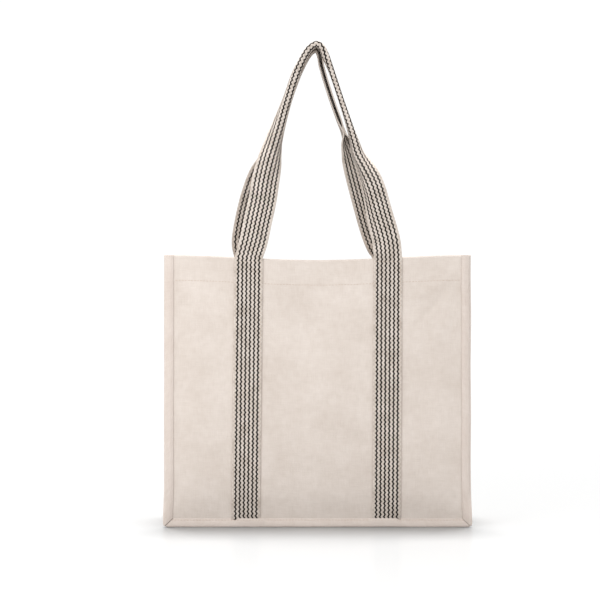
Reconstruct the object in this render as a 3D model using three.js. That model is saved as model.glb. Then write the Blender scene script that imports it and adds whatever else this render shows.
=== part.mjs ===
// Canvas tote bag with bound outside seams and two striped webbing handles.
// Millimetres, +Z up, the front faces -Y, the origin is on the floor under the middle.
import * as THREE from 'three';

// ---- Driving dimensions -------------------------------------------------------------------
const bagWidth = 400;
const bagDepth = 130;
const bagHeight = 356;
const rimDip = 6.4; // how far the rim sags halfway between the corners
const clothThickness = 1.2;
const gap = 0.3; // between neighbouring layers

const bindingWidth = 11.5;
const tapeThickness = 1;

const hemHeight = 35;
const hemThickness = 1;

const webbingWidth = 37;
const webbingThickness = 1.8;
// Where the strap centre lines cross the foot and the rim; the front ones aren't quite upright.
const frontStraps = { left: { footX: -94, topX: -90 }, right: { footX: 90, topX: 92 } };
const rearStraps = { left: { footX: -95, topX: -95 }, right: { footX: 95, topX: 95 } };

// ---- Layers, worked out from the driving dimensions ------------------------------------------
const bindingThickness = 2 * tapeThickness + clothThickness + 2 * gap;
const panelOuterY = bagDepth / 2 - tapeThickness - gap;
const panelInnerY = panelOuterY - clothThickness;
const gussetOuterX = bagWidth / 2 - bindingWidth - gap;
const gussetInnerX = gussetOuterX - clothThickness;
const liningY = panelInnerY - gap; // the plane just inside the panels
const liningX = gussetInnerX - gap; // the plane just inside the gussets
const floorZ = bindingWidth + gap;
const strapMiddleY = panelOuterY + gap + webbingThickness / 2;

// ---- Materials ----------------------------------------------------------------------------
const canvas = () => new THREE.MeshStandardMaterial({ color: 0xe2d7cc, roughness: 0.92, metalness: 0 });
const hemCanvas = () => new THREE.MeshStandardMaterial({ color: 0xd8cabd, roughness: 0.94, metalness: 0 });
const bindingCanvas = () => new THREE.MeshStandardMaterial({ color: 0xe5dbd2, roughness: 0.9, metalness: 0 });
const webbing = () => new THREE.MeshStandardMaterial({ color: 0xa79d94, roughness: 0.85, metalness: 0 });

// ---- Helpers --------------------------------------------------------------------------------
const bag = new THREE.Group();

function addPiece(name, geometry, material) {
  const piece = new THREE.Mesh(geometry, material);
  piece.name = name;
  bag.add(piece);
}

// Height of the rim at a distance x from the middle: full height at the corners, sagging between.
function rimHeight(x) {
  return bagHeight - rimDip * Math.cos((Math.PI * x) / bagWidth) ** 2;
}

// Both handles hinge at one height, where the front straps cross the rim.
const hingeZ = rimHeight(frontStraps.right.topX);

// Moves every vertex of a geometry by a function of its position.
function reshape(geometry, move) {
  const positions = geometry.getAttribute('position');
  const vertex = new THREE.Vector3();
  for (let i = 0; i < positions.count; i += 1) {
    vertex.fromBufferAttribute(positions, i);
    move(vertex);
    positions.setXYZ(i, vertex.x, vertex.y, vertex.z);
  }
  return geometry;
}

// A flat layer of cloth between two corners, with enough steps along x to follow the rim.
function layer(low, high, stepsAlongX = 1) {
  const size = new THREE.Vector3().subVectors(high, low);
  const middle = new THREE.Vector3().addVectors(high, low).multiplyScalar(0.5);
  const geometry = new THREE.BoxGeometry(size.x, size.y, size.z, stepsAlongX, 1, 1);
  return geometry.translate(middle.x, middle.y, middle.z);
}

// ---- Front and rear: panel, hem, binding and sewn straps ------------------------------------
const rimSteps = 16;

// A panel from the bound edges up to the sagging rim. facing is -1 at the front and 1 at the rear.
function panel(facing) {
  const edge = bagWidth / 2 - tapeThickness - gap;
  const ys = [facing * panelInnerY, facing * panelOuterY].sort((a, b) => a - b);
  const low = new THREE.Vector3(-edge, ys[0], tapeThickness + gap);
  const high = new THREE.Vector3(edge, ys[1], bagHeight);
  return reshape(layer(low, high, rimSteps), (vertex) => {
    if (vertex.z > bagHeight / 2) vertex.z = rimHeight(vertex.x);
  });
}

// The turned-in hem on the inner face of a panel, following the rim.
function panelHem(facing) {
  const ys = [facing * (liningY - hemThickness), facing * liningY].sort((a, b) => a - b);
  const low = new THREE.Vector3(-liningX, ys[0], 0);
  const high = new THREE.Vector3(liningX, ys[1], hemHeight);
  return reshape(layer(low, high, rimSteps), (vertex) => {
    vertex.z += rimHeight(vertex.x) - hemHeight;
  });
}

// The folded tape in section: across runs inward from the outer edge, depth from the outer face.
const foldedTape = [
  [0, 0],
  [bindingWidth, 0],
  [bindingWidth, tapeThickness],
  [tapeThickness, tapeThickness],
  [tapeThickness, bindingThickness - tapeThickness],
  [bindingWidth, bindingThickness - tapeThickness],
  [bindingWidth, bindingThickness],
  [0, bindingThickness],
];

// An upright stretch of binding, mitred at the lower end. side is -1 at the left and 1 at the right.
function sideBinding(side, facing) {
  const outline = foldedTape.map(([across, depth]) => new THREE.Vector2(
    side * (bagWidth / 2 - across),
    facing * (bagDepth / 2 - depth),
  ));
  const geometry = new THREE.ExtrudeGeometry(new THREE.Shape(outline), {
    depth: bagHeight,
    bevelEnabled: false,
  });
  return reshape(geometry, (vertex) => {
    if (vertex.z < bagHeight / 2) vertex.z += bagWidth / 2 - Math.abs(vertex.x);
  });
}

// The bottom stretch of binding, mitred at both ends with a small gap to the upright ones.
function bottomBinding(facing) {
  const length = bagWidth - 4 * gap;
  const outline = foldedTape.map(([across, depth]) => new THREE.Vector2(
    facing * (bagDepth / 2 - depth),
    across,
  ));
  const geometry = new THREE.ExtrudeGeometry(new THREE.Shape(outline), {
    depth: length,
    bevelEnabled: false,
  });
  const alongX = new THREE.Matrix4().makeBasis(
    new THREE.Vector3(0, 1, 0),
    new THREE.Vector3(0, 0, 1),
    new THREE.Vector3(1, 0, 0),
  );
  geometry.applyMatrix4(alongX).translate(-length / 2, 0, 0);
  return reshape(geometry, (vertex) => {
    vertex.x -= Math.sign(vertex.x) * vertex.z;
  });
}

// A strap sewn flat on a panel from the bottom binding up to just under the hinge line.
function sewnStrap({ footX, topX }, facing) {
  const ys = [facing * (strapMiddleY - webbingThickness / 2), facing * (strapMiddleY + webbingThickness / 2)];
  ys.sort((a, b) => a - b);
  const low = new THREE.Vector3(-webbingWidth / 2, ys[0], floorZ);
  const high = new THREE.Vector3(webbingWidth / 2, ys[1], hingeZ - gap);
  return reshape(layer(low, high), (vertex) => {
    vertex.x += vertex.z > bagHeight / 2 ? topX : footX;
  });
}

for (const [end, facing, straps] of [['front', -1, frontStraps], ['rear', 1, rearStraps]]) {
  addPiece(`${end}_panel`, panel(facing), canvas());
  addPiece(`${end}_top_hem`, panelHem(facing), hemCanvas());
  addPiece(`${end}_left_binding`, sideBinding(-1, facing), bindingCanvas());
  addPiece(`${end}_right_binding`, sideBinding(1, facing), bindingCanvas());
  addPiece(`${end}_bottom_binding`, bottomBinding(facing), bindingCanvas());
  addPiece(`${end}_left_sewn_strap`, sewnStrap(straps.left, facing), webbing());
  addPiece(`${end}_right_sewn_strap`, sewnStrap(straps.right, facing), webbing());
}

// ---- Sides and base ---------------------------------------------------------------------------
for (const [name, side] of [['left', -1], ['right', 1]]) {
  const wall = [side * gussetInnerX, side * gussetOuterX].sort((a, b) => a - b);
  addPiece(`${name}_gusset`, layer(
    new THREE.Vector3(wall[0], -liningY, floorZ),
    new THREE.Vector3(wall[1], liningY, bagHeight),
  ), canvas());
  const hem = [side * (liningX - hemThickness), side * liningX].sort((a, b) => a - b);
  const hemEndY = liningY - hemThickness - gap;
  addPiece(`${name}_top_hem`, layer(
    new THREE.Vector3(hem[0], -hemEndY, bagHeight - hemHeight),
    new THREE.Vector3(hem[1], hemEndY, bagHeight),
  ), hemCanvas());
}

addPiece('base_panel', layer(
  new THREE.Vector3(-liningX, -liningY, floorZ),
  new THREE.Vector3(liningX, liningY, floorZ + clothThickness),
), canvas());

// ---- Handles ------------------------------------------------------------------------------------
const loopSteps = 78;
const sectionSteps = 6;
const levelAboveRim = 26; // the strap's section turns from level to square with its route over this
const flatRadius = 30;
const rearward = new THREE.Vector3(0, 1, 0);

// Eases from one station's value to the next; a station that doesn't state the value has the rest one.
function easeAt(stations, key, rest, along) {
  const place = Math.min(along, 0.99999) * (stations.length - 1);
  const index = Math.floor(place);
  const from = stations[index][key] ?? rest;
  const to = stations[index + 1][key] ?? rest;
  return from + (to - from) * THREE.MathUtils.smoothstep(place - index, 0, 1);
}

// Where a point of the strap's section lies when the strap folds lengthwise round its crown: aside
// from the crown, back from it, and the angle the cloth has turned there.
function foldedSection(across, fold, radius) {
  const half = Math.abs(fold) / 2;
  const bent = Math.min(Math.abs(across), radius * half);
  const straight = Math.abs(across) - bent;
  const angle = bent / radius;
  const aside = radius * Math.sin(angle) + straight * Math.cos(half);
  const back = radius * (1 - Math.cos(angle)) + straight * Math.sin(half);
  return {
    aside: Math.sign(across) * aside,
    back: Math.sign(fold) * back,
    angle: Math.sign(across) * Math.sign(fold) * angle,
  };
}

// A strap of webbing that follows a route of stations. Each station gives the place of the crown,
// the line along which the strap folds lengthwise, and may give the fold's whole angle and radius,
// the strap's turn about its route, and how far the crown lies from the strap's middle. A fold
// above 0 opens to the rear and one below 0 to the front.
function webbingLoop(stations) {
  const route = new THREE.CatmullRomCurve3(stations.map(({ centre }) => new THREE.Vector3(...centre)));
  const geometry = new THREE.BoxGeometry(webbingWidth, webbingThickness, 1, sectionSteps, 1, loopSteps);
  return reshape(geometry, (vertex) => {
    const along = vertex.z + 0.5;
    const centre = route.getPoint(along);
    const tangent = route.getTangent(along);
    const level = new THREE.Vector3(along < 0.5 ? 1 : -1, 0, 0);
    const square = new THREE.Vector3().crossVectors(rearward, tangent).normalize();
    const free = THREE.MathUtils.smoothstep(centre.z - hingeZ, 0, levelAboveRim);
    const sideways = level.lerp(square, free).normalize();
    const outward = new THREE.Vector3().crossVectors(tangent, sideways).normalize();
    const turn = THREE.MathUtils.degToRad(easeAt(stations, 'turn', 0, along));
    const fold = THREE.MathUtils.degToRad(easeAt(stations, 'fold', 0, along));
    const radius = easeAt(stations, 'radius', flatRadius, along);
    const crown = easeAt(stations, 'crown', 0, along);
    sideways.applyAxisAngle(tangent, turn);
    outward.applyAxisAngle(tangent, turn);
    const { aside, back, angle } = foldedSection(vertex.x - crown, fold, radius);
    const layerOffset = vertex.y;
    vertex.copy(centre)
      .addScaledVector(sideways, aside - layerOffset * Math.sin(angle))
      .addScaledVector(outward, back + layerOffset * Math.cos(angle));
  });
}

// Stations run from the left rim over the top to the right rim. Each strap leaves the rim flat and
// folds lengthwise as it nears the top: the front one opens to the rear, the rear one to the front.
const frontLoop = [
  { centre: [frontStraps.left.topX, -strapMiddleY, hingeZ + gap] },
  { centre: [-88, -64.7, 359.4] },
  { centre: [-83.6, -62.5, 375], fold: 8 },
  { centre: [-77.9, -57.5, 402], fold: 10 },
  { centre: [-72.4, -53, 428], fold: 14 },
  { centre: [-68, -49, 455], fold: 30, radius: 20, turn: 3 },
  { centre: [-62, -45, 481], fold: 72, radius: 13, turn: 8 },
  { centre: [-57.6, -42, 496], fold: 105, radius: 9.4, turn: 13 },
  { centre: [-50, -37, 522], fold: 146, radius: 6.6, turn: 17 },
  { centre: [-38.8, -29, 563], fold: 172, radius: 4.7, turn: 8 },
  { centre: [-25.6, -22.5, 604], fold: 178, radius: 4.2, turn: 5 },
  { centre: [-12.2, -19, 630.5], fold: 180, radius: 3.6 },
  { centre: [-6.6, -18.2, 636.2], fold: 180, radius: 3.2 },
  { centre: [-0.4, -18, 639], fold: 180, radius: 3.2 },
  { centre: [5.2, -18.2, 635.6], fold: 180, radius: 3.4, crown: -1.2 },
  { centre: [10, -19.2, 626.5], fold: 180, radius: 3.8, crown: -3 },
  { centre: [18.6, -22, 604], fold: 184, radius: 3, crown: -5.4 },
  { centre: [31.8, -27.5, 563], fold: 185, radius: 2.9, crown: -5.4 },
  { centre: [43, -34, 529], fold: 178, radius: 3.3, crown: -5.4 },
  { centre: [48.8, -38, 509], fold: 166, radius: 4.2, turn: 3, crown: -5.4 },
  { centre: [52.6, -41, 491], fold: 144, radius: 5.4, turn: 10, crown: -4 },
  { centre: [60, -46.5, 468], fold: 104, radius: 6.6, turn: 32, crown: 0 },
  { centre: [66.6, -50.5, 448], fold: 74, radius: 9, turn: 30, crown: 2.6 },
  { centre: [78.2, -57, 408], fold: 40, radius: 14, turn: 16, crown: 2.5 },
  { centre: [89.6, -62.5, 376], fold: 14, turn: 4 },
  { centre: [91.6, -64.7, 359.4] },
  { centre: [frontStraps.right.topX, -strapMiddleY, hingeZ + gap] },
];
const rearLoop = [
  { centre: [rearStraps.left.topX, strapMiddleY, hingeZ + gap] },
  { centre: [-95.6, 64.7, 359.4] },
  { centre: [-98.6, 62.5, 376], fold: -16 },
  { centre: [-92.8, 57.5, 412], fold: -20 },
  { centre: [-85.6, 52.5, 440], fold: -30 },
  { centre: [-76.5, 47, 467], fold: -64, radius: 16 },
  { centre: [-63, 41, 493], fold: -120, radius: 8 },
  { centre: [-50.5, 34, 529], fold: -160, radius: 4.6 },
  { centre: [-38.2, 28, 567], fold: -174, radius: 3.4 },
  { centre: [-23, 21, 607], fold: -176, radius: 3.4 },
  { centre: [-12.4, 18.5, 626], fold: -178, radius: 3 },
  { centre: [-6.8, 18, 632], fold: -178, radius: 2.6 },
  { centre: [-1.2, 17.8, 634.5], fold: -178, radius: 2.4 },
  { centre: [2.8, 18.4, 629], fold: -178, radius: 2.8 },
  { centre: [5.8, 19.8, 613], fold: -178, radius: 2.5 },
  { centre: [11.2, 22, 594], fold: -178, radius: 2.4 },
  { centre: [19.4, 26, 569], fold: -178, radius: 2.4 },
  { centre: [29.4, 31.5, 542], fold: -181, radius: 2.6 },
  { centre: [36, 35.5, 525.5], fold: -195, radius: 2.8 },
  { centre: [40.6, 38, 512], fold: -142, radius: 4.4 },
  { centre: [48, 41.5, 495], fold: -80, radius: 8 },
  { centre: [54.2, 45, 475.5], fold: -48, radius: 14 },
  { centre: [63.8, 50.5, 441.5], fold: -34, radius: 22 },
  { centre: [75.6, 57, 400.5], fold: -26 },
  { centre: [83, 60.5, 380], fold: -16 },
  { centre: [93.4, 64.7, 359.4] },
  { centre: [rearStraps.right.topX, strapMiddleY, hingeZ + gap] },
];
addPiece('front_handle_webbing', webbingLoop(frontLoop), webbing());
addPiece('rear_handle_webbing', webbingLoop(rearLoop), webbing());

export default bag;
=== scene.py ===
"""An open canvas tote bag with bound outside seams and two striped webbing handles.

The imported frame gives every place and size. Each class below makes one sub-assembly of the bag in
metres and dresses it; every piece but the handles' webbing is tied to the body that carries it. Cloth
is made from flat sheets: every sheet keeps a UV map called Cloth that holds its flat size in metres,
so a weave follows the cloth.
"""

import bisect
import logging
import math
from collections.abc import Callable
from dataclasses import dataclass, field
from enum import Enum

import bmesh
import bpy
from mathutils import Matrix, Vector, noise


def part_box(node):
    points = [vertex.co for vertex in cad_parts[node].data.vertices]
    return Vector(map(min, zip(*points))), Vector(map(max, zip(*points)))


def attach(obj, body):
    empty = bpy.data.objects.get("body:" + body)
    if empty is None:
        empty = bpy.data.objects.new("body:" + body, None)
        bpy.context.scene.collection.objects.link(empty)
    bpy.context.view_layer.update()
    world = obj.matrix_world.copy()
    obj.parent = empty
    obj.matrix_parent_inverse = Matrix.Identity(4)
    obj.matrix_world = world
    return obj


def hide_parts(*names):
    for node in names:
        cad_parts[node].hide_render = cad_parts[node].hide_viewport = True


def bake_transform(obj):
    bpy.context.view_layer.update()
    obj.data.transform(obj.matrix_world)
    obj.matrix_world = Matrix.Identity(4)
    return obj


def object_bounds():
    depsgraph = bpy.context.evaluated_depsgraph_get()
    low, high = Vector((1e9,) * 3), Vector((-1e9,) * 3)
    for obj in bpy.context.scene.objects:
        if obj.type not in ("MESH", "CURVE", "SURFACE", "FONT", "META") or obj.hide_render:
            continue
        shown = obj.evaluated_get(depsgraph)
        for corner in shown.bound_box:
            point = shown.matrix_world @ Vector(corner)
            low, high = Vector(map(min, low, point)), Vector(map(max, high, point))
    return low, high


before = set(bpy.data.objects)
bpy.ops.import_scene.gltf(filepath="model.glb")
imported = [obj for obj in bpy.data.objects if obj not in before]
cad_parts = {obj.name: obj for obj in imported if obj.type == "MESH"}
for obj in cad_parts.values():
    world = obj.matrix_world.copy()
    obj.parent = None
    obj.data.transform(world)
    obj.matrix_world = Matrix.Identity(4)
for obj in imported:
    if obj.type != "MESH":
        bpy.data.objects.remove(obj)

log = logging.getLogger("tote")
MM = 0.001
UP = Vector((0, 0, 1))
CLOTH_UV = "Cloth"
BODY = "bag_body"
CAD_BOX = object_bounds()


class End(Enum):
    """The two long walls of the bag, by the names the frame uses."""

    FRONT = "front"
    REAR = "rear"


class Side(Enum):
    """The two sides as the front is seen, by the sign of their x."""

    LEFT = -1
    RIGHT = 1

    @property
    def word(self) -> str:
        """Give the side's name as the frame's nodes spell it."""
        return self.name.lower()


# ---- Small helpers ----------------------------------------


def linear(hex_colour: str) -> tuple[float, float, float, float]:
    """Turn an sRGB hex colour to linear light.

    Args:
        hex_colour: six hex digits, red first.

    Returns:
        Linear red, green, blue and an alpha of 1.
    """
    parts = [int(hex_colour[i : i + 2], 16) / 255 for i in (0, 2, 4)]
    light = [c / 12.92 if c <= 0.04045 else ((c + 0.055) / 1.055) ** 2.4 for c in parts]
    return (*light, 1.0)


def smooth(value: float, low: float = 0.0, high: float = 1.0) -> float:
    """Rise smoothly from 0 at low to 1 at high."""
    t = min(max((value - low) / (high - low), 0.0), 1.0)
    return t * t * (3 - 2 * t)


def ripple(x: float, y: float, seed: float, size: float) -> float:
    """Give seeded soft noise between -1 and 1 whose lumps are about one size across."""
    return noise.noise(Vector((x / size, y / size, seed)))


def add_node(
    tree: bpy.types.NodeTree,
    kind: str,
    settings: dict[str, object] | None = None,
    inputs: dict[str | int, object] | None = None,
) -> bpy.types.Node:
    """Add a node with its settings, its plain values and its links.

    Args:
        tree: the node tree that gets the node.
        kind: the node's type name without the ShaderNode prefix.
        settings: properties of the node itself.
        inputs: a value or an output socket for each input, by its name or number.

    Returns:
        The new node.
    """
    node = tree.nodes.new("ShaderNode" + kind)
    for name, value in (settings or {}).items():
        setattr(node, name, value)
    for key, value in (inputs or {}).items():
        socket = node.inputs[key]
        if isinstance(value, bpy.types.NodeSocket):
            tree.links.new(value, socket)
        else:
            socket.default_value = value
    return node


def calculate(tree: bpy.types.NodeTree, operation: str, *values: object) -> bpy.types.NodeSocket:
    """Add one Math node and give its result."""
    return add_node(tree, "Math", {"operation": operation}, dict(enumerate(values))).outputs[0]


def mix_colours(
    tree: bpy.types.NodeTree, share: bpy.types.NodeSocket, low: object, high: object,
) -> bpy.types.NodeSocket:
    """Mix two colours, the second one where share is 1, and give the result."""
    inputs = {"Factor": share, 6: low, 7: high}
    return add_node(tree, "Mix", {"data_type": "RGBA"}, inputs).outputs[2]


def start_material(
    name: str, roughness: float, specular: float, sheen: float = 0.0, sheen_roughness: float = 0.5,
) -> tuple[bpy.types.Material, bpy.types.NodeTree, bpy.types.Node]:
    """Start a node material with its gloss set on the shader's own sockets.

    Args:
        name: the material's name.
        roughness: how rough its surface is, 0 to 1.
        specular: its specular level, 0.5 for ordinary gloss.
        sheen: the soft light that loose fibres catch at the edges.
        sheen_roughness: how widely that light spreads.

    Returns:
        The material, its node tree and its shader.
    """
    material = bpy.data.materials.new(name)
    material.use_nodes = True
    shader = material.node_tree.nodes["Principled BSDF"]
    shader.inputs["Roughness"].default_value = roughness
    shader.inputs["Specular IOR Level"].default_value = specular
    shader.inputs["Sheen Weight"].default_value = sheen
    shader.inputs["Sheen Roughness"].default_value = sheen_roughness
    return material, material.node_tree, shader


def add_object(
    name: str, work: bmesh.types.BMesh, material: bpy.types.Material,
) -> bpy.types.Object:
    """Turn a finished mesh into an object at the origin.

    Args:
        name: the object's name.
        work: the mesh that is being made; it is freed.
        material: the object's only material.

    Returns:
        The object, linked to the scene.
    """
    mesh = bpy.data.meshes.new(name)
    work.to_mesh(mesh)
    work.free()
    mesh.materials.append(material)
    piece = bpy.data.objects.new(name, mesh)
    bpy.context.scene.collection.objects.link(piece)
    return piece


def dress_body(piece: bpy.types.Object, slot: str, *nodes: str) -> None:
    """Tie a piece to the bag's body and hide the CAD nodes it stands for."""
    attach(piece, BODY)
    if nodes:
        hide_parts(*nodes)


# ---- Finishes ---------------------------------------------


@dataclass(frozen=True)
class CanvasFinish:
    """Natural cotton canvas, plain woven, unbleached and unpressed.

    The eye sees a pale greige cloth with no gloss, fine crossed threads, thicker slubs here and
    there along both threads, a few seed flecks and soft cloudy patches where the cloth is worked.
    """

    name: str
    colour: str = "ded4cc"
    shade: str = "cbbfb5"
    fleck: str = "9c8468"
    thread: float = 0.95 * MM  # between neighbouring threads
    slub_length: float = 16 * MM
    slub_width: float = 0.9 * MM
    cloud_size: float = 55 * MM
    mottle_size: float = 9 * MM
    weave_depth: float = 0.16 * MM
    roughness: float = 0.93
    sheen: float = 0.12

    def make(self) -> bpy.types.Material:
        """Build the material.

        Returns:
            A node material that reads the cloth's own UV map.
        """
        material, tree, shader = start_material(self.name, self.roughness, 0.2, self.sheen, 0.6)
        cloth = add_node(tree, "UVMap", {"uv_map": CLOTH_UV}).outputs["UV"]
        place = add_node(tree, "SeparateXYZ", inputs={0: cloth})
        across, along = place.outputs["X"], place.outputs["Y"]

        clouds = self._noise(tree, cloth, (1, 1), self.cloud_size)
        mottle = self._noise(tree, cloth, (1, 1), self.mottle_size)
        warp_slub = self._noise(tree, cloth, (1, self.slub_width / self.slub_length), self.slub_width)
        weft_slub = self._noise(tree, cloth, (self.slub_width / self.slub_length, 1), self.slub_width)
        slubs = calculate(tree, "ADD", warp_slub, weft_slub)
        tone = calculate(tree, "MULTIPLY", clouds, 0.42)
        tone = calculate(tree, "MULTIPLY_ADD", mottle, 0.26, tone)
        tone = calculate(tree, "MULTIPLY_ADD", slubs, 0.26, tone)
        ramp = add_node(tree, "MapRange", {"clamp": True}, {0: tone, 1: 0.42, 2: 0.78, 3: 0.0, 4: 1.0})
        colour = mix_colours(tree, ramp.outputs[0], linear(self.shade), linear(self.colour))
        flecks = self._noise(tree, cloth, (1, 0.4), 2.6 * MM)
        fleck = add_node(tree, "MapRange", {"clamp": True}, {0: flecks, 1: 0.77, 2: 0.8, 3: 0.0, 4: 0.35})
        flecked = mix_colours(tree, fleck.outputs[0], colour, linear(self.fleck))
        tree.links.new(flecked, shader.inputs["Base Color"])

        # Threads pass over and under by turns, so the height is a chequer of soft bumps.
        turn = math.pi / self.thread
        warp = calculate(tree, "SINE", calculate(tree, "MULTIPLY", across, turn))
        weft = calculate(tree, "SINE", calculate(tree, "MULTIPLY", along, turn))
        chequer = calculate(tree, "MULTIPLY", warp, weft)
        height = calculate(tree, "MULTIPLY_ADD", slubs, 2.2, chequer)
        height = calculate(tree, "MULTIPLY_ADD", mottle, 2.5, height)
        bump = add_node(
            tree, "Bump", inputs={"Strength": 0.5, "Distance": self.weave_depth, "Height": height},
        )
        tree.links.new(bump.outputs[0], shader.inputs["Normal"])
        return material

    @staticmethod
    def _noise(
        tree: bpy.types.NodeTree,
        place: bpy.types.NodeSocket,
        stretch: tuple[float, float],
        size: float,
    ) -> bpy.types.NodeSocket:
        """Add noise, 0 to 1, with lumps about one size across; a stretch under 1 draws them out."""
        scale = (stretch[0] / size, stretch[1] / size, 1)
        mapped = add_node(tree, "Mapping", inputs={"Vector": place, "Scale": scale})
        return add_node(
            tree, "TexNoise", inputs={"Vector": mapped.outputs[0], "Scale": 1.0, "Detail": 3.0},
        ).outputs[0]


@dataclass(frozen=True)
class WebbingFinish:
    """Cotton webbing, woven with six dark zigzag warp lines on a ribbed cream ground.

    The eye sees sharp near-black zigzags, a chain of small ovals between them, plain selvedges at
    both sides and a crosswise rib over the whole strap. The cream is painted lighter on the raised
    ovals and rib tops, a painted highlight, and darker between them, a painted shade; random wear
    also varies it.
    """

    name: str = "striped_cotton_webbing"
    cream: str = "d6ccc3"
    # the cream in painted shade, used between the raised ovals and ribs and in random wear
    shade: str = "b3a79c"
    dark: str = "0b0807"
    line_spacing: float = 5.45 * MM
    line_width: float = 2.35 * MM
    zigzag_length: float = 5.75 * MM
    zigzag_reach: float = 0.8 * MM
    lines_each_side: int = 3
    rib: float = 1.44 * MM
    depth: float = 0.3 * MM

    def make(self) -> bpy.types.Material:
        """Build the material.

        Returns:
            A node material that reads the strap's UV map: across from its middle, and along it.
        """
        material, tree, shader = start_material(self.name, 0.92, 0.08)
        cloth = add_node(tree, "UVMap", {"uv_map": CLOTH_UV}).outputs["UV"]
        place = add_node(tree, "SeparateXYZ", inputs={0: cloth})
        across, along = place.outputs["X"], place.outputs["Y"]

        # A little unevenness in the beat of the weave keeps the zigzags from being drawn by rule.
        wander = add_node(
            tree, "TexNoise", inputs={"Vector": cloth, "Scale": 1 / (9 * MM), "Detail": 2.0},
        ).outputs[0]
        wander = calculate(tree, "MULTIPLY_ADD", wander, 0.5 * MM, -0.25 * MM)
        half = self.zigzag_length / 2
        wave = calculate(tree, "PINGPONG", along, half)
        swing = calculate(tree, "MULTIPLY_ADD", wave, 2 / half, -1.0)
        shift = calculate(tree, "MULTIPLY_ADD", swing, self.zigzag_reach, wander)
        shifted = calculate(tree, "SUBTRACT", across, shift)
        from_middle = calculate(tree, "ABSOLUTE", shifted)
        fold = calculate(tree, "PINGPONG", from_middle, self.line_spacing / 2)
        off_line = calculate(tree, "SUBTRACT", self.line_spacing / 2, fold)
        edge = self.line_width / 2
        on_line = add_node(
            tree, "MapRange", {"interpolation_type": "SMOOTHSTEP"},
            {0: off_line, 1: edge * 0.92, 2: edge * 1.06, 3: 1.0, 4: 0.0},
        ).outputs[0]
        last_line = self.line_spacing * (self.lines_each_side - 0.1)
        inside = calculate(tree, "LESS_THAN", from_middle, last_line)
        line = calculate(tree, "MULTIPLY", on_line, inside)

        # Beside each line the ground swells into ovals where the zigzag turns away from it. The cream is
        # painted lighter where the ovals and ribs rise, a painted highlight, and darker between them, a
        # painted shade, over random wear.
        side = calculate(
            tree, "SINE", calculate(tree, "MULTIPLY", shifted, 2 * math.pi / self.line_spacing),
        )
        oval = calculate(tree, "MULTIPLY", side, swing)
        ribs = calculate(tree, "SINE", calculate(tree, "MULTIPLY", along, 2 * math.pi / self.rib))
        wear = add_node(
            tree, "TexNoise", inputs={"Vector": cloth, "Scale": 1 / (14 * MM), "Detail": 4.0},
        ).outputs[0]
        # painted highlight and shade: lighter on the raised ovals and ribs, over random wear
        tone = calculate(tree, "MULTIPLY_ADD", oval, 0.22, wear)
        tone = calculate(tree, "MULTIPLY_ADD", ribs, 0.1, tone)
        ground = add_node(
            tree, "MapRange", {"clamp": True}, {0: tone, 1: 0.22, 2: 0.68, 3: 0.0, 4: 1.0},
        ).outputs[0]
        cream = mix_colours(tree, ground, linear(self.shade), linear(self.cream))
        faded = calculate(tree, "MULTIPLY", line, 0.96)
        colour = mix_colours(tree, faded, cream, linear(self.dark))
        tree.links.new(colour, shader.inputs["Base Color"])

        height = calculate(tree, "MULTIPLY_ADD", ribs, 0.35, oval)
        height = calculate(tree, "MULTIPLY_ADD", line, 0.8, height)
        bump = add_node(tree, "Bump", inputs={"Strength": 0.6, "Distance": self.depth, "Height": height})
        tree.links.new(bump.outputs[0], shader.inputs["Normal"])
        return material


@dataclass(frozen=True)
class ThreadFinish:
    """Spun cotton sewing thread, cream: a faint twist and a little more gloss than the cloth."""

    name: str = "spun_cotton_thread"
    colour: str = "dccbbd"
    shade: str = "b9a594"
    twist: float = 0.5 * MM

    def make(self) -> bpy.types.Material:
        """Build the material, reading Object coordinates for the thread's twist."""
        material, tree, shader = start_material(self.name, 0.7, 0.35)
        place = add_node(tree, "TexCoord").outputs["Object"]
        ply = add_node(
            tree, "TexNoise", inputs={"Vector": place, "Scale": 1 / self.twist, "Detail": 1.0},
        ).outputs[0]
        colour = mix_colours(tree, ply, linear(self.shade), linear(self.colour))
        tree.links.new(colour, shader.inputs["Base Color"])
        return material


# ---- Cloth ------------------------------------------------


@dataclass
class Cloth:
    """A flat piece of cloth that is bent into place and given its thickness.

    Args of the class:
        name: the piece's name.
        size: its flat width and length, in metres.
        steps: how many steps it has each way.
        place: gives the place of a point from its flat coordinates, from 0 up to the size.
        thickness: how thick it is.
        offset: -1 grows the thickness behind the face, 0 half to each side.
        uv_origin: the flat coordinates of the first corner in the UV map.
    """

    name: str
    size: tuple[float, float]
    steps: tuple[int, int]
    place: Callable[[float, float], Vector]
    thickness: float
    offset: float = -1.0
    uv_origin: tuple[float, float] = (0.0, 0.0)

    def build(self, material: bpy.types.Material) -> bpy.types.Object:
        """Make the sheet's object, at the origin, in one material."""
        width, length = self.size
        work = bmesh.new()
        bmesh.ops.create_grid(work, x_segments=self.steps[0], y_segments=self.steps[1], size=0.5)
        cloth = work.loops.layers.uv.new(CLOTH_UV)
        for face in work.faces:
            face.smooth = True
            for corner in face.loops:
                flat = corner.vert.co
                corner[cloth].uv = (
                    (flat.x + 0.5) * width + self.uv_origin[0],
                    (flat.y + 0.5) * length + self.uv_origin[1],
                )
        for vertex in work.verts:
            vertex.co = self.place((vertex.co.x + 0.5) * width, (vertex.co.y + 0.5) * length)
        piece = add_object(self.name, work, material)
        wall = piece.modifiers.new("thickness", "SOLIDIFY")
        wall.thickness = self.thickness
        wall.offset = self.offset
        return piece


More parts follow.
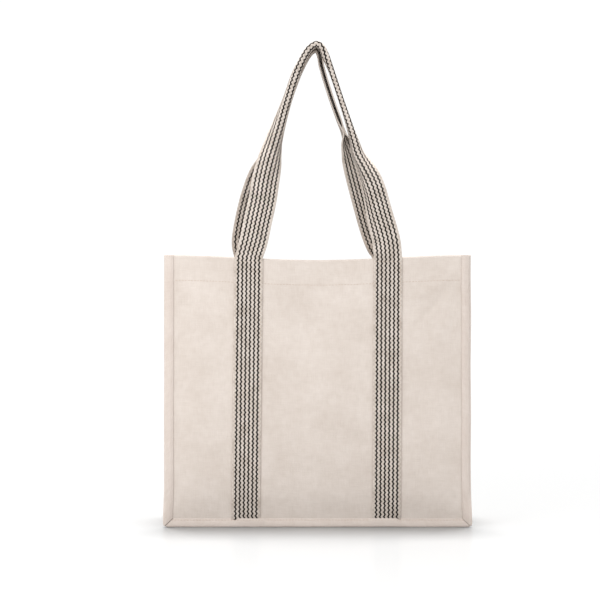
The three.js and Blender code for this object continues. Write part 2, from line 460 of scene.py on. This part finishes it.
@dataclass(frozen=True)
class Crease:
    """A soft crease on a wall, from one point to another, as (across, height) in metres."""

    start: tuple[float, float]
    end: tuple[float, float]
    width: float
    depth: float

    def at(self, s: float, z: float) -> float:
        """Give how far the crease moves the cloth outward at a point of the wall."""
        run = (self.end[0] - self.start[0], self.end[1] - self.start[1])
        length = math.hypot(*run)
        offset = (s - self.start[0], z - self.start[1])
        t = (offset[0] * run[0] + offset[1] * run[1]) / length**2
        aside = (offset[0] * run[1] - offset[1] * run[0]) / length
        fade = smooth(t, -0.15, 0.3) * smooth(1 - t, -0.15, 0.3)
        return self.depth * fade * math.exp(-((aside / self.width) ** 2))


@dataclass(frozen=True)
class Wall:
    """An upright wall of the bag and the way its cloth settles.

    s runs along the wall from its middle, z is the height, and outward is away from the bag.
    """

    outward: Vector
    along: Vector
    face: float
    half_span: float
    height: float
    dip: float
    belly: float
    lean: float
    lean_half_width: float
    wrinkle: float
    seed: float
    creases: tuple[Crease, ...] = ()

    def rim(self, s: float) -> float:
        """Give the height of the rim, which sags between the corners."""
        return self.height - self.dip * math.cos(math.pi / 2 * s / self.half_span) ** 2

    def settle(self, s: float, z: float) -> float:
        """Give how far the cloth stands out from its flat place.

        Args:
            s: the distance along the wall from its middle.
            z: the height.

        Returns:
            The distance outward, in metres; the bound edges keep still.
        """
        edge = min(self.half_span - abs(s), z)
        held = smooth(edge, 8 * MM, 45 * MM)
        share = z / self.height
        swell = self.belly * math.sin(math.pi * min(share, 1.0) ** 0.7)
        fall = max(0.0, 1 - (s / self.lean_half_width) ** 2) ** 2 * smooth(share, 0.45, 1.0)
        waves = 0.65 * ripple(s, z, self.seed, 75 * MM)
        waves += 0.3 * ripple(s, z, self.seed + 7, 26 * MM)
        waves += 0.1 * ripple(s, z, self.seed + 13, 11 * MM)
        folds = sum(crease.at(s, z) for crease in self.creases)
        return held * (swell + self.wrinkle * waves) - self.lean * fall + folds

    def point(self, s: float, z: float, out: float = 0.0) -> Vector:
        """Give a point of the wall, out from its settled outer face by a distance."""
        depth = self.face + self.settle(s, z) + out
        return self.outward * depth + self.along * s + UP * z


# ---- Stitching --------------------------------------------


@dataclass
class StitchRow:
    """A row of lockstitches sewn along a path.

    Args of the class:
        path: gives a point on the cloth at a distance along the row.
        outward: the way the cloth faces.
        length: the row's length.
    """

    path: Callable[[float], Vector]
    outward: Vector
    length: float
    stitch: float = 3.1 * MM
    gap: float = 0.9 * MM
    thread: float = 0.62 * MM
    proud: float = 0.1 * MM

    def sew(self, work: bmesh.types.BMesh) -> None:
        """Add the row's stitches to a mesh that is being made."""
        pitch = self.stitch + self.gap
        count = int(self.length / pitch)
        for number in range(count):
            middle = (number + 0.5) * self.length / count
            point = self.path(middle)
            direction = (self.path(middle + 0.5 * MM) - self.path(middle - 0.5 * MM)).normalized()
            side = self.outward.cross(direction).normalized()
            made = bmesh.ops.create_icosphere(work, subdivisions=1, radius=0.5)
            for vertex in made["verts"]:
                flat = vertex.co.copy()
                vertex.co = (
                    point
                    + direction * flat.x * self.stitch
                    + side * flat.y * self.thread
                    + self.outward * (flat.z * self.thread + self.proud)
                )


def sew_rows(name: str, rows: list[StitchRow], material: bpy.types.Material) -> bpy.types.Object:
    """Make one piece, in one thread, from several rows of stitches."""
    work = bmesh.new()
    for row in rows:
        row.sew(work)
    for facet in work.faces:
        facet.smooth = True
    return add_object(name, work, material)


# ---- The bag's body ---------------------------------------


@dataclass
class BagBody:
    """Panels, gussets, base, turned hems and bound seams of the bag."""

    canvas: bpy.types.Material
    hem_cloth: bpy.types.Material
    tape_cloth: bpy.types.Material
    thread: bpy.types.Material
    cloth: float = 1.2 * MM
    hem_cloth_thickness: float = 0.9 * MM
    hem_height: float = 35 * MM
    tape: float = 0.9 * MM
    tape_steps: int = 26  # across the tape
    tape_grain: float = 1.6 * MM  # size of a step along the tape
    seam_inset: float = 2.2 * MM  # from the tape's inner edge to its stitches
    stitch_dip: float = 0.35 * MM  # how deep the stitches pull into the tape
    base_sag: float = 7 * MM
    rim_dip: float = 6.4 * MM
    grain: float = 3.2 * MM  # size of a step in the panels' meshes
    corner_radius: float = 6 * MM
    seam_roll: float = 2.6 * MM  # how far the right-hand seams' outer edge rolls back
    seam_kick: float = 2.4 * MM  # how far the bottom seam's lower edge kicks out under the load
    seam_flare: float = 1.4 * MM  # how far the seams splay at the foot
    walls: dict[str, Wall] = field(default_factory=dict)

    def __post_init__(self) -> None:
        """Read the sizes that the frame settles, and set out the four walls."""
        panel_low, panel_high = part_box("front_panel")
        tape_low, tape_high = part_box("front_left_binding")
        gusset_low, gusset_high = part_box("left_gusset")
        self.half_width = -tape_low.x
        self.half_depth = -tape_low.y
        self.height = tape_high.z
        self.tape_width = tape_high.x - tape_low.x
        self.tape_depth = tape_high.y - tape_low.y
        self.floor = gusset_low.z
        self.panel_half_span = panel_high.x
        self.panel_foot = panel_low.z
        self.gusset_half_span = gusset_high.y
        pulls = (
            Crease((0.178, 0.330), (0.118, 0.292), 5 * MM, 1.3 * MM),
            Crease((0.172, 0.312), (0.128, 0.262), 6 * MM, -1.3 * MM),
            Crease((0.180, 0.285), (0.140, 0.225), 7 * MM, 1.0 * MM),
            Crease((-0.176, 0.325), (-0.130, 0.268), 8 * MM, -0.8 * MM),
        )
        long_wall = {
            "half_span": self.half_width,
            "height": self.height,
            "dip": self.rim_dip,
            "belly": 3.5 * MM,
            "lean": 7 * MM,
            "lean_half_width": 78 * MM,
            "wrinkle": 1.5 * MM,
        }
        side_wall = {
            "half_span": self.gusset_half_span,
            "height": self.height,
            "dip": 2.5 * MM,
            "belly": 0.0,
            "lean": 12 * MM,
            "lean_half_width": self.gusset_half_span,
            "wrinkle": 1.8 * MM,
        }
        front, left = Vector((0, -1, 0)), Vector((-1, 0, 0))
        self.walls["front"] = Wall(
            front, -left, -panel_low.y, seed=3.1, creases=pulls, **long_wall,
        )
        self.walls["rear"] = Wall(-front, left, -panel_low.y, seed=41.7, **long_wall)
        self.walls["left"] = Wall(left, front, -gusset_low.x, seed=17.3, **side_wall)
        self.walls["right"] = Wall(-left, -front, -gusset_low.x, seed=29.9, **side_wall)

    def build(self) -> None:
        """Make every piece of the body."""
        for end in End:
            self._wall_cloth(f"{end.value}_panel_cloth", self.walls[end.value],
                             self.panel_half_span, self.panel_foot, f"{end.value}_panel")
            self._bindings(end)
        for side in Side:
            self._wall_cloth(f"{side.word}_gusset_cloth", self.walls[side.word],
                             self.gusset_half_span, self.floor, f"{side.word}_gusset")
        for name in self.walls:
            self._hem(name)
        self._base()

    def _wall_cloth(self, name: str, wall: Wall, half_span: float, foot: float, node: str) -> None:
        """Make one upright sheet of canvas on a wall, from its foot to the rim, for a CAD node."""
        width, length = 2 * half_span, self.height - foot

        def place(u: float, v: float) -> Vector:
            """Place a point of the sheet."""
            s = u - half_span
            return wall.point(s, foot + v / length * (wall.rim(s) - foot))

        steps = (round(width / self.grain), round(length / self.grain))
        piece = Cloth(name, (width, length), steps, place, self.cloth).build(self.canvas)
        dress_body(piece, "canvas", node)
        log.info("%s: %.0f x %.0f mm of canvas", name, width / MM, length / MM)

    def _hem(self, name: str) -> None:
        """Make the turned-in hem of one wall, with its row of stitches on the outside."""
        wall = self.walls[name]
        low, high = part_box(f"{name}_top_hem")
        half_span = max(abs(low.dot(wall.along)), abs(high.dot(wall.along)))
        inside = -self.cloth - 0.25 * MM

        def place(u: float, v: float) -> Vector:
            """Place a point of the sheet."""
            s = u - half_span
            top = wall.rim(s)
            return wall.point(s, top - self.hem_height + v, inside)

        size = (2 * half_span, self.hem_height - 0.6 * MM)
        steps = (round(size[0] / self.grain), 10)
        piece = Cloth(f"{name}_hem_cloth", size, steps, place, self.hem_cloth_thickness)
        hem = piece.build(self.hem_cloth)
        dress_body(hem, "hem_canvas", f"{name}_top_hem")

        def seam(distance: float) -> Vector:
            """Give a point of the hem's row of stitches."""
            s = distance - half_span
            return wall.point(s, wall.rim(s) - self.hem_height + 2 * MM)

        row = StitchRow(seam, wall.outward, 2 * half_span)
        stitches = sew_rows(f"{name}_hem_stitches", [row], self.thread)
        dress_body(stitches, "hem_canvas")
        log.info("%s hem: %.0f mm deep, one row of stitches", name, self.hem_height / MM)

    def _base(self) -> None:
        """Make the base panel, which sags between the bound seams that carry the bag."""
        low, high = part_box("base_panel")
        width, length = high.x - low.x, high.y - low.y

        def place(u: float, v: float) -> Vector:
            """Place a point of the sheet."""
            x, y = low.x + u, low.y + v
            sag = self.base_sag * (math.sin(math.pi * u / width) * math.sin(math.pi * v / length)) ** 0.7
            waves = ripple(x, y, 53.0, 60 * MM) * smooth(sag, 0.0, 5 * MM)
            return Vector((x, y, high.z - sag + waves * MM))

        steps = (round(width / self.grain), round(length / self.grain))
        base = Cloth("base_cloth", (width, length), steps, place, self.cloth).build(self.canvas)
        dress_body(base, "canvas", "base_panel")
        log.info("base: %.0f x %.0f mm of canvas", width / MM, length / MM)

    # -- bound seams --

    def _section(self, share: float, pucker: float, raised: float) -> tuple[float, float]:
        """Give the folded tape's outer face, from its front inner edge round to its rear one.

        Args:
            share: how far round the fold, 0 at the front edge and 1 at the rear one.
            pucker: how much the stitches gather the tape here.
            raised: how far something under the front edge lifts it.

        Returns:
            The distance in from the seam's outer edge, and the depth behind its front face.
        """
        radius = self.tape_depth / 2
        flat = self.tape_width - radius
        turn = math.pi * radius
        walked = share * (2 * flat + turn)
        if walked < flat:
            across, depth, side = self.tape_width - walked, 0.0, 1.0
        elif walked > flat + turn:
            across, depth, side = radius + walked - flat - turn, self.tape_depth, -1.0
        else:
            angle = (walked - flat) / radius
            return radius * (1 - math.sin(angle)), radius * (1 - math.cos(angle))
        stitched = math.exp(-(((across - self.tape_width + self.seam_inset) / (1.3 * MM)) ** 2))
        loose = math.sin(math.pi * smooth(across, 0.0, self.tape_width))
        depth += side * (self.stitch_dip * stitched - (self.stitch_dip + pucker) * loose)
        depth += side * 1.2 * MM * smooth(across, self.tape_width - 3.4 * MM, self.tape_width)
        if side > 0:
            depth -= raised * smooth(across, radius, self.tape_width)
        return across, depth

    def _rounded(self, x: float, z: float) -> tuple[float, float]:
        """Pull a point of the bound edge in where the lower corner is rounded."""
        radius = self.corner_radius
        aside, up = self.half_width - abs(x) - radius, z - radius
        far = math.hypot(aside, up)
        if aside < 0 and up < 0 and far > radius:
            aside, up = aside * radius / far, up * radius / far
        return math.copysign(self.half_width - radius - aside, x), radius + up

    def _bindings(self, end: End) -> None:
        """Make the three stretches of folded tape round one long wall's panel, and their stitches."""
        wall = self.walls[end.value]
        rim_height = self.height
        turn = 2 * self.tape_width + math.pi * self.tape_depth / 2 - self.tape_depth
        strap_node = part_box(f"{end.value}_right_sewn_strap")
        strap_x = (strap_node[0].x + strap_node[1].x) / 2
        strap_half = (strap_node[1].x - strap_node[0].x) / 2

        def edge_wave(t: float) -> float:
            """Give how far the seam's edge wanders from straight."""
            return 0.5 * MM * ripple(t, 0.0, wall.seed + 3, 60 * MM)

        def pucker(t: float) -> float:
            """Give how much the stitches gather the tape along its length."""
            fine = 0.22 * MM * ripple(t, 0.02, wall.seed + 5, 6.5 * MM)
            return fine + 0.25 * MM * ripple(t, 0.05, wall.seed + 9, 21 * MM)

        def lift(x: float) -> float:
            """The strap's end lies under the tape and lifts it."""
            return 1.5 * MM * smooth(strap_half + 2.5 * MM - abs(abs(x) - strap_x), 0.0, 4 * MM)

        def seat(s: float, z: float, across: float, depth: float) -> Vector:
            """Set a point of the tape: a right-hand seam rolls back and the bottom one kicks out."""
            outer = 1 - smooth(across, 0.0, self.tape_width)
            high = smooth(z, 8 * MM, 40 * MM)
            roll = self.seam_roll * outer * high * smooth(s * wall.along.x, 0.0, self.half_width)
            kick = self.seam_kick * outer * (1 - high)
            flare = self.seam_flare * (1 - smooth(z, 0.0, 60 * MM)) * math.copysign(1, s)
            s, z = self._rounded(s, z)
            sway = wall.settle(s, max(z, 0.0)) * smooth(across, 0.0, self.tape_width)
            out = self.half_depth - depth + sway - roll + kick
            flare *= smooth(abs(s), 0.5 * self.half_width, self.half_width)
            return wall.outward * out + wall.along * (s + flare) + UP * z

        def upright(side: int) -> Callable[[float, float], Vector]:
            """Give the place function of the tape on one side, by the sign of s."""

            def place(u: float, v: float) -> Vector:
                share = u / turn if side * wall.along.x < 0 else 1 - u / turn
                across, depth = self._section(share, pucker(v * side), 0.0)
                z = across + v / rim_height * (rim_height - across)
                return seat(side * (self.half_width - across + edge_wave(v * side)), z, across, depth)

            return place

        def bottom(u: float, v: float) -> Vector:
            """Give the place of a point of the bottom tape."""
            reach = self.half_width - 0.4 * MM
            share = v / turn
            x = u - reach
            across, depth = self._section(1 - share, pucker(u + 1), lift(x))
            z = across - edge_wave(u + 1) * smooth(reach - abs(x), 0.0, 30 * MM)
            return seat(x * (1 - across / reach), max(z, 0.0), across, depth)

        long_steps = round(rim_height / self.tape_grain)
        for side in Side:
            facing = side.value if wall.along.x > 0 else -side.value
            size = (turn, rim_height)
            name = f"{end.value}_{side.word}"
            steps = (self.tape_steps, long_steps)
            sheet = Cloth(f"{name}_tape", size, steps, upright(facing), self.tape)
            self._finish_tape(sheet.build(self.tape_cloth), f"{name}_binding")
        size = (2 * (self.half_width - 0.4 * MM), turn)
        steps = (round(size[0] / self.tape_grain), self.tape_steps)
        sheet = Cloth(f"{end.value}_bottom_tape", size, steps, bottom, self.tape)
        self._finish_tape(sheet.build(self.tape_cloth), f"{end.value}_bottom_binding")

        seam = self.tape_width - self.seam_inset
        sunk = -0.3 * MM

        def side_seam(side: int) -> Callable[[float], Vector]:
            """Give the path of the stitches up one side."""
            return lambda d: seat(side * (self.half_width - seam), seam + d, seam, -sunk)

        def bottom_seam(distance: float) -> Vector:
            """Give a point of the stitches along the bottom."""
            x = distance - self.half_width + seam
            return seat(x, seam, seam, -sunk - 0.7 * lift(x))

        reach = rim_height - seam
        rows = [StitchRow(side_seam(side), wall.outward, reach) for side in (-1, 1)]
        rows.append(StitchRow(bottom_seam, wall.outward, 2 * (self.half_width - seam)))
        stitches = sew_rows(f"{end.value}_binding_stitches", rows, self.thread)
        dress_body(stitches, "binding_tape")
        log.info("%s seams: %.1f mm tape on three sides, mitred", end.value, self.tape_width / MM)

    def _finish_tape(self, piece: bpy.types.Object, node: str) -> None:
        dress_body(piece, "binding_tape", node)


# ---- Handles ----------------------------------------------


@dataclass(frozen=True)
class Station:
    """One place on a handle's loop, in millimetres and degrees.

    Args of the class:
        centre: the place of the crown, the line along which the strap folds lengthwise.
        fold: how far the strap folds round its crown; a minus sign opens the fold to the front.
        radius: the radius of the fold.
        turn: how far the strap is turned about its own length.
        crown: how far the crown lies from the strap's middle.
    """

    centre: tuple[float, float, float]
    fold: float = 0.0
    radius: float = 30.0
    turn: float = 0.0
    crown: float = 0.0

    def numbers(self) -> Vector:
        """Give the station in metres and radians, as one vector of seven numbers."""
        return Vector((
            *(c * MM for c in self.centre), math.radians(self.fold), self.radius * MM,
            math.radians(self.turn), self.crown * MM,
        ))


def spline(values: list[Vector], share: float) -> Vector:
    """Read a smooth centripetal curve that passes through every value.

    Args:
        values: vectors of one size, at least two; their first three numbers are a place.
        share: 0 at the first value and 1 at the last, counted evenly by value.

    Returns:
        The value there.
    """
    place = min(max(share, 0.0), 1.0) * (len(values) - 1)
    index = min(int(place), len(values) - 2)
    first, second = values[index], values[index + 1]
    before = values[index - 1] if index else first * 2 - second
    after = values[index + 2] if index + 2 < len(values) else second * 2 - first
    points = (before, first, second, after)
    knots = [0.0]
    for one, other in zip(points, points[1:]):
        knots.append(knots[-1] + math.dist(one[:3], other[:3]) ** 0.5)
    at = knots[1] + (place - index) * (knots[2] - knots[1])

    def mix(one: Vector, other: Vector, low: int, high: int) -> Vector:
        """Blend two values by where the reading lies between two knots."""
        return one.lerp(other, (at - knots[low]) / (knots[high] - knots[low]))

    sides = [mix(points[i], points[i + 1], i, i + 1) for i in range(3)]
    inner = [mix(sides[i], sides[i + 1], i, i + 2) for i in range(2)]
    return mix(inner[0], inner[1], 1, 2)


def folded_section(across: float, fold: float, radius: float) -> tuple[float, float]:
    """Give where a point of the strap lies when the strap folds lengthwise round its crown.

    Args:
        across: the distance from the crown, measured on the cloth.
        fold: the whole angle between the two halves' directions; 0 is flat.
        radius: the radius of the fold.

    Returns:
        The distance aside from the crown, and the distance back from it.
    """
    half = abs(fold) / 2
    bent = min(abs(across), radius * half)
    straight = abs(across) - bent
    angle = bent / radius
    aside = radius * math.sin(angle) + straight * math.cos(half)
    back = radius * (1 - math.cos(angle)) + straight * math.sin(half)
    return math.copysign(aside, across), math.copysign(back, fold)


@dataclass
class Handle:
    """One handle: a single length of striped webbing, sewn up the panel, looped and sewn down."""

    end: str
    wall: Wall
    stations: tuple[Station, ...]
    webbing: bpy.types.Material
    thread: bpy.types.Material
    width: float = 37 * MM
    thickness: float = 1.8 * MM
    step: float = 2.4 * MM
    steps_across: int = 26
    settling: float = 26 * MM  # how far above the rim the strap still keeps level
    table_steps: int = 600

    def __post_init__(self) -> None:
        """Read where the sewn runs lie, and measure the loop."""
        self.runs: dict[int, tuple[float, float]] = {}
        for side in Side:
            low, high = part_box(f"{self.end}_{side.word}_sewn_strap")
            self.runs[side.value] = (low.x + self.width / 2, high.x - self.width / 2)
        self.foot = low.z - 2.5 * MM
        self.top = high.z
        self.stand_off = 0.25 * MM + self.thickness / 2
        self.curve = [station.numbers() for station in self.stations]
        samples = [spline(self.curve, i / self.table_steps) for i in range(self.table_steps + 1)]
        self.lengths = [0.0]
        for one, other in zip(samples, samples[1:]):
            self.lengths.append(self.lengths[-1] + math.dist(one[:3], other[:3]))
        self.loop_length = self.lengths[-1]
        self.run_length = self.top - self.foot
        ends = {-1: self.curve[0], 1: self.curve[-1]}
        self.joins = {
            side: self._sewn(side, self.top, 0.0) - Vector(ends[side][:3]) for side in (-1, 1)
        }

    @property
    def total(self) -> float:
        """Give the whole length of the webbing."""
        return 2 * self.run_length + self.loop_length

    def _loop_share(self, distance: float) -> float:
        """Give the curve's own place, 0 to 1, at a distance along the loop."""
        index = min(max(bisect.bisect_right(self.lengths, distance), 1), self.table_steps)
        low, high = self.lengths[index - 1], self.lengths[index]
        return (index - 1 + (distance - low) / (high - low)) / self.table_steps

    def _sewn(self, side: int, z: float, across: float) -> Vector:
        """Give a point of a sewn run, from the panel's settled face.

        Args:
            side: -1 for the left run, 1 for the right one.
            z: the height.
            across: the distance to the right of the run's middle.

        Returns:
            The point in the middle of the webbing's thickness.
        """
        foot_x, top_x = self.runs[side]
        x = foot_x + (top_x - foot_x) * z / self.top + across
        under_tape = 1.1 * MM * (1 - smooth(z, self.foot, self.foot + 7 * MM))
        pressed = 0.25 * MM * smooth(abs(across), 0.38 * self.width, 0.5 * self.width)
        return self.wall.point(x * self.wall.along.x, z, self.stand_off - under_tape - pressed)

    def _looped(self, distance: float, across: float) -> Vector:
        """Give a point of the loop.

        Args:
            distance: how far along the loop, from its left end.
            across: the distance from the strap's middle.

        Returns:
            The point in the middle of the webbing's thickness.
        """
        share = self._loop_share(distance)
        here = spline(self.curve, share)
        ahead = spline(self.curve, min(share + 0.004, 1.0))
        behind = spline(self.curve, max(share - 0.004, 0.0))
        tangent = (Vector(ahead[:3]) - Vector(behind[:3])).normalized()
        side = -1 if distance < self.loop_length / 2 else 1
        from_rim = min(distance, self.loop_length - distance)
        free = smooth(from_rim, 0.0, self.settling)
        level = Vector((-side, 0, 0))
        sideways = level.lerp(Vector((0, 1, 0)).cross(tangent).normalized(), free).normalized()
        face = tangent.cross(sideways).normalized()
        fold, radius, turn, crown = here[3:7]
        sideways, face = (
            sideways * math.cos(turn) + face * math.sin(turn),
            face * math.cos(turn) - sideways * math.sin(turn),
        )
        aside, back = folded_section(across - crown, fold, radius)
        centre = Vector(here[:3]) + self.joins[side] * (1 - smooth(from_rim, 0.0, 2 * self.settling))
        return centre + sideways * aside + face * back

    def place(self, u: float, v: float) -> Vector:
        """Give the place of a point of the webbing from its flat coordinates."""
        across = u - self.width / 2
        if v <= self.run_length:
            return self._sewn(-1, self.foot + v, across)
        if v >= self.run_length + self.loop_length:
            return self._sewn(1, self.foot + self.total - v, -across)
        return self._looped(v - self.run_length, across)

    def build(self) -> None:
        """Make the webbing and its stitches."""
        steps = (self.steps_across, round(self.total / self.step))
        cloth = Cloth(
            f"{self.end}_handle_strap", (self.width, self.total), steps, self.place,
            self.thickness, offset=0.0, uv_origin=(-self.width / 2, 0.0),
        )
        strap = cloth.build(self.webbing)
        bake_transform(strap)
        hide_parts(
            f"{self.end}_left_sewn_strap", f"{self.end}_right_sewn_strap",
            f"{self.end}_handle_webbing",
        )
        self._stitches()
        log.info("%s handle: %.0f mm of webbing", self.end, self.total / MM)

    def _stitches(self) -> None:
        """Sew each run down along both selvedges and across under the rim."""
        inset = self.width / 2 - 2 * MM
        above = self.thickness / 2 - 0.15 * MM
        start = self.foot + 6 * MM
        stop = self.top - 5 * MM
        out = self.wall.outward

        def run(side: int, edge: float) -> Callable[[float], Vector]:
            """Give the path of a row up one edge of a sewn run."""
            return lambda d: self._sewn(side, start + d, edge) + out * above

        def across(side: int) -> Callable[[float], Vector]:
            """Give the path of the row across the top of a sewn run."""
            return lambda d: self._sewn(side, stop, d - inset) + out * above

        rows = []
        for side in (-1, 1):
            rows += [StitchRow(run(side, e), out, stop - start) for e in (-inset, inset)]
            rows.append(StitchRow(across(side), out, 2 * inset))
        stitches = sew_rows(f"{self.end}_strap_stitches", rows, self.thread)
        dress_body(stitches, "striped_webbing")


FRONT_LOOP = (
    Station((-90, -64.9, 352.7)),
    Station((-88, -64.7, 359.4)),
    Station((-83.6, -62.5, 375), fold=8),
    Station((-77.9, -57.5, 402), fold=10),
    Station((-72.4, -53, 428), fold=14),
    Station((-68, -49, 455), fold=30, radius=20, turn=3),
    Station((-62, -45, 481), fold=72, radius=13, turn=8),
    Station((-57.6, -42, 496), fold=105, radius=9.4, turn=13),
    Station((-50, -37, 522), fold=146, radius=6.6, turn=17),
    Station((-38.8, -29, 563), fold=172, radius=4.7, turn=8),
    Station((-25.6, -22.5, 604), fold=178, radius=4.2, turn=5),
    Station((-12.2, -19, 630.5), fold=180, radius=3.6),
    Station((-6.6, -18.2, 636.2), fold=180, radius=3.2),
    Station((-0.4, -18, 639), fold=180, radius=3.2),
    Station((5.2, -18.2, 635.6), fold=180, radius=3.4, crown=-1.2),
    Station((10, -19.2, 626.5), fold=180, radius=3.8, crown=-3),
    Station((18.6, -22, 604), fold=184, radius=3, crown=-5.4),
    Station((31.8, -27.5, 563), fold=185, radius=2.9, crown=-5.4),
    Station((43, -34, 529), fold=178, radius=3.3, crown=-5.4),
    Station((48.8, -38, 509), fold=166, radius=4.2, turn=3, crown=-5.4),
    Station((52.6, -41, 491), fold=144, radius=5.4, turn=10, crown=-4),
    Station((60, -46.5, 468), fold=104, radius=6.6, turn=32, crown=0),
    Station((66.6, -50.5, 448), fold=74, radius=9, turn=30, crown=2.6),
    Station((78.2, -57, 408), fold=40, radius=14, turn=16, crown=2.5),
    Station((89.6, -62.5, 376), fold=14, turn=4),
    Station((91.6, -64.7, 359.4)),
    Station((92, -64.9, 352.7)),
)

REAR_LOOP = (
    Station((-95, 64.9, 352.7)),
    Station((-95.6, 64.7, 359.4)),
    Station((-98.6, 62.5, 376), fold=-16),
    Station((-92.8, 57.5, 412), fold=-20),
    Station((-85.6, 52.5, 440), fold=-30),
    Station((-76.5, 47, 467), fold=-64, radius=16),
    Station((-63, 41, 493), fold=-120, radius=8),
    Station((-50.5, 34, 529), fold=-160, radius=4.6),
    Station((-38.2, 28, 567), fold=-174, radius=3.4),
    Station((-23, 21, 607), fold=-176, radius=3.4),
    Station((-12.4, 18.5, 626), fold=-178, radius=3),
    Station((-6.8, 18, 632), fold=-178, radius=2.6),
    Station((-1.2, 17.8, 634.5), fold=-178, radius=2.4),
    Station((2.8, 18.4, 629), fold=-178, radius=2.8),
    Station((5.8, 19.8, 613), fold=-178, radius=2.5),
    Station((11.2, 22, 594), fold=-178, radius=2.4),
    Station((19.4, 26, 569), fold=-178, radius=2.4),
    Station((29.4, 31.5, 542), fold=-181, radius=2.6),
    Station((36, 35.5, 525.5), fold=-195, radius=2.8),
    Station((40.6, 38, 512), fold=-142, radius=4.4),
    Station((48, 41.5, 495), fold=-80, radius=8),
    Station((54.2, 45, 475.5), fold=-48, radius=14),
    Station((63.8, 50.5, 441.5), fold=-34, radius=22),
    Station((75.6, 57, 400.5), fold=-26),
    Station((83, 60.5, 380), fold=-16),
    Station((93.4, 64.7, 359.4)),
    Station((95, 64.9, 352.7)),
)


# ---- Studio -----------------------------------------------


@dataclass
class Studio:
    """A pale floor, a white background, a soft key light and a level camera."""

    bag_width_in_view: float = 0.51
    distance: float = 2.4
    eye_height: float = 0.297
    aside: float = -0.023
    sensor: float = 36.0
    floor_size: float = 40.0
    floor_colour: str = "a8a8a8"
    world_strength: float = 1.04
    key_size: tuple[float, float] = (0.6, 0.5)
    key_place: Vector = field(default_factory=lambda: Vector((-0.5, -0.8, 0.6)))
    key_aim: Vector = field(default_factory=lambda: Vector((0, 0, 0.14)))
    key_energy: float = 2.7
    overhead_energy: float = 5.0
    overhead_spread: float = math.radians(20)
    overhead_tilt: float = math.radians(-13)

    def build(self) -> None:
        """Set out the floor, the world, the lights and the camera."""
        bpy.context.scene.view_settings.view_transform = "Standard"
        self._floor()
        self._world()
        self._lights()
        self._camera()

    def _floor(self) -> None:
        """Lay a large flat floor."""
        work = bmesh.new()
        bmesh.ops.create_grid(work, x_segments=1, y_segments=1, size=self.floor_size / 2)
        material, _, shader = start_material("studio_floor_white", 0.1, 0.003)
        shader.inputs["Base Color"].default_value = linear(self.floor_colour)
        add_object("studio_floor", work, material)

    def _world(self) -> None:
        """Light the world evenly white, which is also the background."""
        world = bpy.data.worlds.new("studio_white")
        bpy.context.scene.world = world
        world.use_nodes = True
        background = world.node_tree.nodes["Background"]
        background.inputs["Color"].default_value = (1, 1, 1, 1)
        background.inputs["Strength"].default_value = self.world_strength

    def _lights(self) -> None:
        """Hang a soft key light at the front left, and light the floor from above and behind."""
        key_data = bpy.data.lights.new("key", "AREA")
        key_data.shape = "RECTANGLE"
        key_data.size, key_data.size_y = self.key_size
        key_data.energy = self.key_energy
        key = bpy.data.objects.new("key", key_data)
        key.location = self.key_place
        key.rotation_euler = (self.key_aim - self.key_place).to_track_quat("-Z", "Y").to_euler()
        bpy.context.scene.collection.objects.link(key)
        overhead_data = bpy.data.lights.new("overhead", "SUN")
        overhead_data.angle = self.overhead_spread
        overhead_data.energy = self.overhead_energy
        overhead = bpy.data.objects.new("overhead", overhead_data)
        overhead.rotation_euler = (self.overhead_tilt, 0, 0)
        bpy.context.scene.collection.objects.link(overhead)

    def _camera(self) -> None:
        """Place a level camera in front of the bag, a little to the left."""
        low, high = CAD_BOX
        data = bpy.data.cameras.new("camera")
        data.sensor_width = self.sensor
        data.lens = self.sensor * self.distance * self.bag_width_in_view / (high[0] - low[0])
        camera = bpy.data.objects.new("camera", data)
        camera.location = (self.aside, low[1] - self.distance, self.eye_height)
        camera.rotation_euler = (math.pi / 2, 0, 0)
        bpy.context.scene.collection.objects.link(camera)
        bpy.context.scene.camera = camera


# ---- The whole bag ----------------------------------------


def main() -> None:
    """Build the studio and the bag, one sub-assembly after another."""
    logging.basicConfig(level=logging.INFO, format="%(message)s")
    Studio().build()
    canvas = CanvasFinish("natural_cotton_canvas").make()
    hem_cloth = CanvasFinish("turned_canvas_hem", colour="d8ccc0", shade="c9bbad").make()
    tape_cloth = CanvasFinish(
        "folded_canvas_tape", colour="ddd2ca", shade="cdbfb5", thread=0.8 * MM,
    ).make()
    webbing = WebbingFinish().make()
    thread = ThreadFinish().make()
    body = BagBody(canvas, hem_cloth, tape_cloth, thread)
    body.build()
    for end, loop in ((End.FRONT, FRONT_LOOP), (End.REAR, REAR_LOOP)):
        Handle(end.value, body.walls[end.value], loop, webbing, thread).build()


if __name__ == "__main__":
    main()
